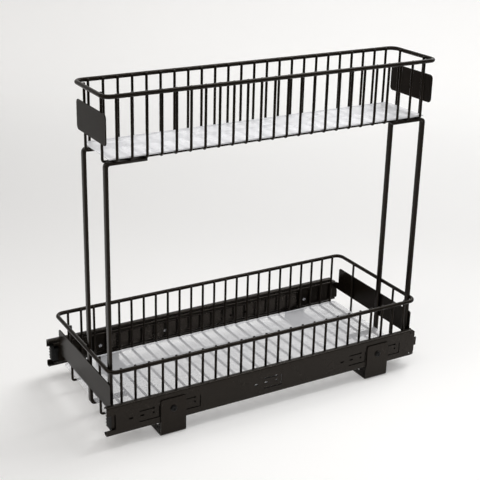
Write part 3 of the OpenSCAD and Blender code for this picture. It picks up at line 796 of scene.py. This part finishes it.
def rail_rivets():
    """A bright domed rivet on the inside of each inner rail's web, at the flange screws' height."""
    z = sum(corner.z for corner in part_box("flange_screws")) / 2
    near_web, far_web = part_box("near_inner_rail")[1].y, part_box("far_inner_rail")[0].y
    places = [(RIVET_X, y, z) for y in (near_web, far_web)]
    return add_on(blobs("rail_rivets", places, RIVET, around=20, rings=10), "flange_screws")


rail_rivets()
for side in ("near", "far"):
    for rail, coat in (("outer", None), ("middle", None), ("inner", SLIDING_COAT)):
        softened(f"{side}_{rail}_rail", f"{side}_{rail}_channel", RAIL_EDGE, coat=coat)
    softened(f"{side}_rear_stop", f"{side}_stop_block", STOP_EDGE)
    stop_head(side)
    for row in ("outer", "inner"):
        softened(f"{side}_{row}_cage", f"{side}_{row}_cage_strip", CAGE_EDGE)
        softened(f"{side}_{row}_balls", f"{side}_{row}_ball_rows", 0, angle=BALL_ANGLE)
    for end in ("rear", "front"):
        softened(f"{side}_{end}_bracket", f"{side}_{end}_foot", SHEET_EDGE, coat=FOOT_COAT)
softened("bracket_screws", "bracket_screw_set", BRACKET_SCREW_EDGE)
softened("flange_screws", "flange_screw_set", FLANGE_SCREW_EDGE)

# ---------------------------------------------------------------------------------------------
# Studio. Places on the floor are in metres from the origin, along the camera's line or across it,
# to the right.
# ---------------------------------------------------------------------------------------------
FLOOR_REACH = 6.0            # to the front, and to both sides
FLOOR_ENDS = 1.6             # where the floor starts to curve up into the wall
COVE_BEND, COVE_STEPS = 1.2, 24
WALL_TOP = 5.0
PALE = (0.80, 0.796, 0.79)
DIM_PALE = tuple(0.97 * c for c in PALE)
LIFT_COLOUR = (1.0, 0.99, 0.975, 1)
NEAR_LIFT, MIDDLE_LIFT, FAR_LIFT = 0.25, 0.02, 0.27     # how much brighter the paper is seen
LIFT_STARTS, LIFT_DIPS, LIFT_ENDS = -0.2, 0.7, 2.2      # where, along the camera's line
LEFT_SHARE, LEFT_STARTS, LEFT_ENDS = 0.5, -0.45, 0.05   # share of it on the left, and where, across
OUT_LIFT, OUT_STARTS, OUT_ENDS = 0.45, 1.2, 5.0         # far-out lift, by distance from the object
FRONT_STARTS, FRONT_ENDS = 0.4, 1.4                     # where that fades out, along the line
AIR_COLOUR = (0.99, 0.985, 0.975, 1)
AIR_LIGHT, AIR_SEEN = 0.2, 0.8     # the air's light, and how bright the camera sees it
WHITE, WARM_WHITE = (1, 1, 1), (1, 0.93, 0.86)
SOFT_BOXES = {               # place and aim, side (m), power (W), colour
    "key_box": ((2.1, 0.5, 2.2), (0, 0, 0.2), 1.6, 30, WHITE),
    "left_box": ((-3.2, 0.5, 1.9), (0, 0, 0.25), 1.8, 22, WARM_WHITE),
    "top_box": ((-0.4, -0.3, 2.6), (0, 0, 0), 2.2, 24, WHITE),
    "rim_box": ((1.05, -0.1, 2.45), (0, 0, 0.2), 0.7, 18, WHITE),
}


def paper():
    """Pale matt paper, seen a little brighter than it is lit, as an exposed white backdrop is. The
    lift falls from the front of the floor to the middle and rises again to the wall, and it is
    weaker on the left. Far out in front, where the lamps no longer reach, it makes up for their
    light."""
    made, n, shader = finish_of("studio_paper")
    place = n.place()
    tone = n.noise(place, 1.3, detail=1.0)
    n.link(two_tones(n, tone, DIM_PALE, PALE), shader.inputs["Base Color"])
    shader.inputs["Roughness"].default_value = 0.9
    shader.inputs["Specular IOR Level"].default_value = 0.1
    turned = n.add("ShaderNodeMapping", Vector=place,
                   Rotation=(0.0, 0.0, math.radians(TURN))).outputs[0]
    away = n.add("ShaderNodeVectorMath", {"operation": "LENGTH"}, Vector=turned).outputs["Value"]
    axes = n.add("ShaderNodeSeparateXYZ", Vector=turned).outputs
    along, across = axes["Y"], axes["X"]
    # Painted light: the paper glows for the camera and in reflections, and the weaker lift on the
    # left paints a soft shade on the floor there.
    falling = n.ramp(along, LIFT_STARTS, LIFT_DIPS, NEAR_LIFT - MIDDLE_LIFT, 0.0)
    sideways = n.ramp(across, LEFT_STARTS, LEFT_ENDS, LEFT_SHARE, 1.0)
    rising = n.ramp(along, LIFT_DIPS, LIFT_ENDS, MIDDLE_LIFT, FAR_LIFT)
    out = n.ramp(away, OUT_STARTS, OUT_ENDS, 0.0, OUT_LIFT)
    front = n.ramp(along, FRONT_STARTS, FRONT_ENDS, 1.0, 0.0)
    lift = n.math("ADD", n.math("MULTIPLY", falling, sideways), rising)
    lift = n.math("ADD", lift, n.math("MULTIPLY", out, front))
    ways = n.add("ShaderNodeLightPath").outputs
    seen = n.math("MAXIMUM", ways["Is Camera Ray"], ways["Is Glossy Ray"])
    n.link(n.math("MULTIPLY", seen, lift), shader.inputs["Emission Strength"])
    shader.inputs["Emission Color"].default_value = LIFT_COLOUR
    return made


def studio():
    """A pale floor that curves up into a wall behind: a line of (depth, height) points drawn out
    to both sides and turned to face the camera."""
    turn = np.linspace(0, math.pi / 2, COVE_STEPS)
    cove = np.stack([FLOOR_ENDS + COVE_BEND * np.sin(turn), COVE_BEND * (1 - np.cos(turn))], axis=1)
    line = np.concatenate([[[-FLOOR_REACH, 0]], cove, [[FLOOR_ENDS + COVE_BEND, WALL_TOP]]])
    sides = np.array([-FLOOR_REACH, FLOOR_REACH])
    grid = np.stack(np.broadcast_arrays(sides, line[:, :1], line[:, 1:]), axis=-1)
    turned = Matrix.Rotation(-math.radians(TURN), 3, "Z")
    points = grid.reshape(-1, 3) @ np.array(turned).T
    k = 2 * np.arange(len(line) - 1)
    faces = np.stack([k, k + 1, k + 3, k + 2], axis=1).tolist()
    backdrop = surface_piece("studio_cove", points, faces)
    backdrop.data.materials.append(paper())


def soft_box(name, place, aim, side, power, colour):
    """A square area lamp at a place, turned to its aim."""
    data = bpy.data.lights.new(name, "AREA")
    data.shape = "RECTANGLE"
    data.size = data.size_y = side
    data.energy = power
    data.color = colour
    lamp = in_scene(name, data)
    lamp.location = place
    lamp.rotation_euler = (Vector(aim) - Vector(place)).to_track_quat("-Z", "Y").to_euler()


def lights():
    """Soft boxes from the right, the left and above, the smallest where the long rims throw it
    back as a slim line, and the pale air around them."""
    for name, box in SOFT_BOXES.items():
        soft_box(name, *box)
    world = bpy.data.worlds.new("studio_air")
    world.use_nodes = True
    n = Nodes(world.node_tree)
    back = world.node_tree.nodes["Background"]
    back.inputs["Color"].default_value = AIR_COLOUR
    seen = n.add("ShaderNodeLightPath").outputs["Is Camera Ray"]
    n.link(n.spread(seen, AIR_LIGHT, AIR_SEEN), back.inputs["Strength"])
    bpy.context.scene.world = world


studio()
lights()
bpy.context.scene.view_settings.view_transform = "Standard"
